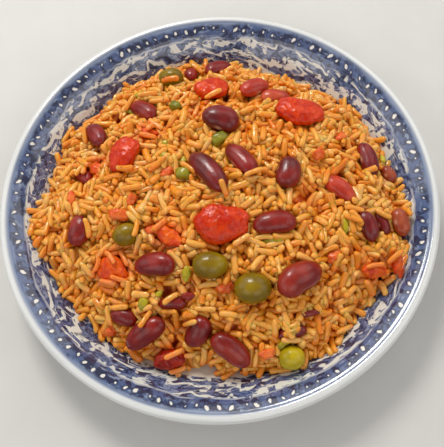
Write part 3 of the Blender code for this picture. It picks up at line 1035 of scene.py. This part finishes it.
# Small bits on the rice: x, y, turn in degrees, length, width, and how far above its surface.
BITS = {
    "tomato_bits": [
        (47, -36, 20, 7, 5, 0.6), (-1, -45, 10, 7, 5, 0.8), (-21, 9, 30, 7, 4, 0.6),
        (47, 11, 0, 6, 5, 0.6), (-43, -9, -20, 9, 5, 0.8), (-66, 4, 80, 7, 4, 0.6),
        (-53, -55, 40, 7, 4, 0.8), (14, -73, 10, 7, 4, 1.2), (-38, -2, 70, 6, 4, 0.4),
        (-30, -17, 20, 6, 4, 0.6), (60, 22, 30, 6, 4, 0.6), (36, 43, 60, 6, 4, 1.0),
    ],
    "bean_skin_bits": [(-17, -47, 0, 5.6, 3.4, 0.6), (34, -59, 10, 8, 2.8, 0.6)],
    "green_bits": [
        (-14, 13, 70, 5, 2.6, 0.6), (-21.5, 24.5, 20, 4, 2.6, 0.6), (-22, 17.5, 60, 4, 2.4, 0.6),
        (-33.5, 60.5, 35, 6, 3, 0.8), (-37.5, 49, -40, 5, 2.6, 0.6), (-16.5, -38.5, 80, 6, 3.4, 0.4),
        (-36, -47.5, 70, 6, 3.6, 0.6), (53.6, -24, 85, 7, 2.2, 1.0), (20, -28, 5, 12, 3.4, 0.0),
        (-29, -44, 40, 4, 2.6, 0.8), (21.5, -69, 40, 7, 3, 1.0), (80, 13, 80, 5, 2.6, 1.0),
    ],
}


def make_bits(bits):
    """Small bits of tomato, bean skin and pepper, each kind joined in one mesh."""
    pulp = (226, 112, 46), (236, 156, 92), (212, 82, 22)
    green = (176, 158, 24), (206, 190, 60), (140, 128, 14)
    looks = {
        "tomato_bits": (tomato_material("tomato_bit", *pulp), "tomato_flesh"),
        "bean_skin_bits": (bean_material("bean_bit", *BEAN_LOOKS["bean_red"]), "bean_skin"),
        "green_bits": (green_material("green_bit", *green), "pepper_flesh"),
    }
    ball_points, ball_faces = ball(24, 16)
    for kind, own in bits.items():
        points, faces = [], []
        for number, bit in enumerate(own):
            local = np.sign(ball_points) * np.abs(ball_points) ** 0.85 * bit.size
            lumps = rough(local, 1.8, number + 600, 2) * 0.34 + rough(local, 0.8, number + 700, 1) * 0.10
            local = local * (1 + lumps)[:, None]
            faces.append(facing_out(local @ bit.axes, ball_faces) + len(points) * len(local))
            points.append(local @ bit.axes + bit.middle)
        material, slot = looks[kind]
        scar = np.zeros(len(points) * len(ball_points))
        piece(kind, np.concatenate(points), np.concatenate(faces), material, {"scar": scar})


def make_specks(grains, surface):
    """Ground black pepper on the uppermost grains."""
    height = grains.middles[:, 2] - surface.at(grains.middles[:, 0], grains.middles[:, 1])
    upper = np.flatnonzero(height > -0.2)
    chosen = RNG.choice(upper, SPECK_COUNT, replace=False)
    ball_points, ball_faces = ball(7, 4)
    points, faces = [], []
    for index in chosen:
        size = RNG.uniform(0.14, 0.32) * np.array([1.0, RNG.uniform(0.6, 1), RNG.uniform(0.5, 0.9)])
        shape = ball_points * size * (1 + RNG.uniform(-0.2, 0.2, (len(ball_points), 1)))
        along = grains.headings[index] * RNG.uniform(-0.35, 0.35) * grains.lengths[index]
        side = np.array([*RNG.uniform(-0.4, 0.4, 2), 0.98]) * grains.radii[index]
        faces.append(ball_faces + len(points) * len(shape))
        points.append(grains.middles[index] + along + side + shape)
    points, faces = np.concatenate(points), np.concatenate(faces)
    piece("pepper_specks", points, facing_out(points, faces), speck_material())


# ---------------------------------------------------------------- floor, light and camera

FLOOR_SIZE, FLOOR_STEPS = 1600, 8


def make_floor():
    line = np.linspace(-FLOOR_SIZE, FLOOR_SIZE, FLOOR_STEPS + 1)
    points = [(x, y, 0.0) for x in line for y in line]
    corners = [i * (FLOOR_STEPS + 1) + j for i in range(FLOOR_STEPS) for j in range(FLOOR_STEPS)]
    faces = [(k, k + FLOOR_STEPS + 1, k + FLOOR_STEPS + 2, k + 1) for k in corners]
    mesh = bpy.data.meshes.new("floor")
    mesh.from_pydata([Vector(p) * MM for p in points], [], faces)
    mesh.materials.append(floor_material())
    floor = bpy.data.objects.new("floor", mesh)
    bpy.context.scene.collection.objects.link(floor)


# Lights: azimuth, elevation, distance and side in metres, watts and colour. The soft ones stand in a ring.
KEY_LIGHT = (195, 50, 1.1, 0.30, 7.0, (1.0, 0.97, 0.92))
SOFT_LIGHTS, SOFT_START, SOFT_LIGHT = 6, 15, (36, 1.3, 0.8, 2.75, (1.0, 0.98, 0.96))
WORLD_COLOUR, WORLD_STRENGTH = (1.0, 0.985, 0.965, 1), 0.27


def area_light(name, azimuth, elevation, distance, size, power, colour):
    """A square light that looks at the dish from an azimuth, 0 being the near side, and elevation."""
    data = bpy.data.lights.new(name, "AREA")
    data.size, data.energy, data.color = size, power, colour
    lamp = bpy.data.objects.new(name, data)
    a, e = math.radians(azimuth), math.radians(elevation)
    back = Vector((math.sin(a) * math.cos(e), -math.cos(a) * math.cos(e), math.sin(e)))
    lamp.location = back * distance
    lamp.rotation_euler = back.to_track_quat("Z", "Y").to_euler()
    bpy.context.scene.collection.objects.link(lamp)


def make_light():
    area_light("key", *KEY_LIGHT)
    for azimuth in range(0, 360, 360 // SOFT_LIGHTS):
        area_light(f"soft_{azimuth}", azimuth + SOFT_START, *SOFT_LIGHT)
    world = bpy.data.worlds.new("studio")
    world.use_nodes = True
    background = world.node_tree.nodes["Background"].inputs
    background["Color"].default_value = WORLD_COLOUR
    background["Strength"].default_value = WORLD_STRENGTH
    bpy.context.scene.world = world
    bpy.context.scene.view_settings.view_transform = "Standard"


def make_camera():
    elevation, roll = math.radians(CAMERA_ELEVATION), math.radians(CAMERA_ROLL)
    forward = Vector((0, math.cos(elevation), -math.sin(elevation)))
    level = Vector((1, 0, 0))
    upright = level.cross(forward)
    right = level * math.cos(roll) + upright * math.sin(roll)
    up = upright * math.cos(roll) - level * math.sin(roll)
    data = bpy.data.cameras.new("camera")
    data.sensor_fit = "HORIZONTAL"
    data.sensor_width = CAMERA_SENSOR
    data.lens = CAMERA_LENS
    data.clip_start = 0.01
    camera = bpy.data.objects.new("camera", data)
    turn = Matrix((right, up, -forward)).transposed().to_4x4()
    place = (Vector(CAMERA_AIM) - forward * CAMERA_DISTANCE) * MM
    camera.matrix_world = Matrix.Translation(place) @ turn
    bpy.context.scene.collection.objects.link(camera)
    bpy.context.scene.camera = camera


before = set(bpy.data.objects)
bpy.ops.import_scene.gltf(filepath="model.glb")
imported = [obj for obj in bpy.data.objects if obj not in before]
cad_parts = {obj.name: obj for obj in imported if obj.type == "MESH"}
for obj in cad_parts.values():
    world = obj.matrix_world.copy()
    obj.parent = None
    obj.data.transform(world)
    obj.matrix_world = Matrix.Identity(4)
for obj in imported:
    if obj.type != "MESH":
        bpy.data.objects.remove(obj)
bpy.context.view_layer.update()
make_camera()
make_floor()
make_light()
make_plate()
solids = [Solid(node) for kind in ("bean", "tomato", "olive", "pepper") for node in node_names(kind)]
surface, inside, rice_there, core, plate = heap_fields()
make_core(surface, inside, core)
bits = {kind: [Bit(surface, *row) for row in rows] for kind, rows in BITS.items()}
grains = make_rice(surface, rice_there, core, plate, solids + sum(bits.values(), []))
make_bits(bits)
make_specks(grains, surface)
make_pieces("bean", bean_form, bean_material, BEAN_LOOKS, BEAN_KINDS, "kidney_")
make_pieces("tomato", tomato_form, tomato_material, TOMATO_LOOKS, TOMATO_KINDS, "flesh_")
make_pieces("olive", olive_form, green_material, OLIVE_LOOKS, OLIVE_KINDS, "skin_")
make_pieces("pepper", pepper_form, green_material, PEPPER_LOOKS, {}, "wall_")
